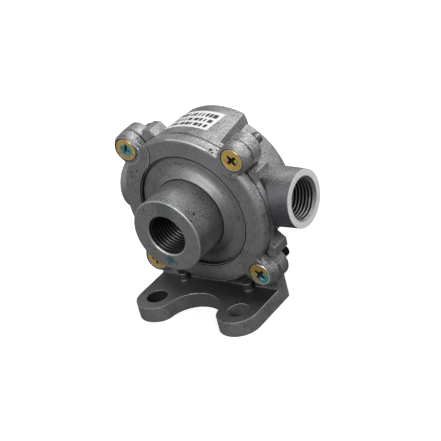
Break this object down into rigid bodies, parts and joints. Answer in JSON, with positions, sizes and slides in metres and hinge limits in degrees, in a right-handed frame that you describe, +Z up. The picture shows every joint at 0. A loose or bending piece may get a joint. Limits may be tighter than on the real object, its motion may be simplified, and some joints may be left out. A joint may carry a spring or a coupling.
{
  "type": "quick exhaust valve",
  "caption": "Cast quick exhaust valve: inlet boss at the front, opposed threaded side ports, rear exhaust, screwed cover and an eared mounting foot.",
  "frame": {"origin": "centre between the two foot holes, on the underside of the foot", "axes": "+X towards the right-hand side port, +Y to the back with the inlet opening towards -Y, +Z up through the foot"},
  "size_m": [0.0778, 0.0488, 0.0711],
  "materials": {
    "cast_aluminium": "satin die-cast surface",
    "black_rubber": "matt",
    "bright_steel": "satin",
    "dark_steel": "phosphated",
    "yellow_zinc": "yellow passivated zinc",
    "white_label": "matt film"
  },
  "bodies": {
    "housing": {"valve_body": "cast_aluminium", "front_cover": "cast_aluminium", "cover_seal": "black_rubber", "return_spring": "bright_steel", "exhaust_screen": "bright_steel", "retaining_ring": "dark_steel", "label": "white_label", "cover_screw_top_left": "yellow_zinc", "cover_screw_top_right": "yellow_zinc", "cover_screw_bottom_right": "yellow_zinc", "cover_screw_bottom_left": "yellow_zinc"},
    "shuttle": {"diaphragm": "black_rubber", "spring_seat": "bright_steel"}
  },
  "joints": [
    {"name": "diaphragm_slide", "type": "slide", "parent": "housing", "child": "shuttle", "axis": [0, 1, 0], "range_m": [0, 0.002], "stiffness_N_per_m": 300, "springref_m": -0.003, "deforming": ["return_spring"]}
  ]
}
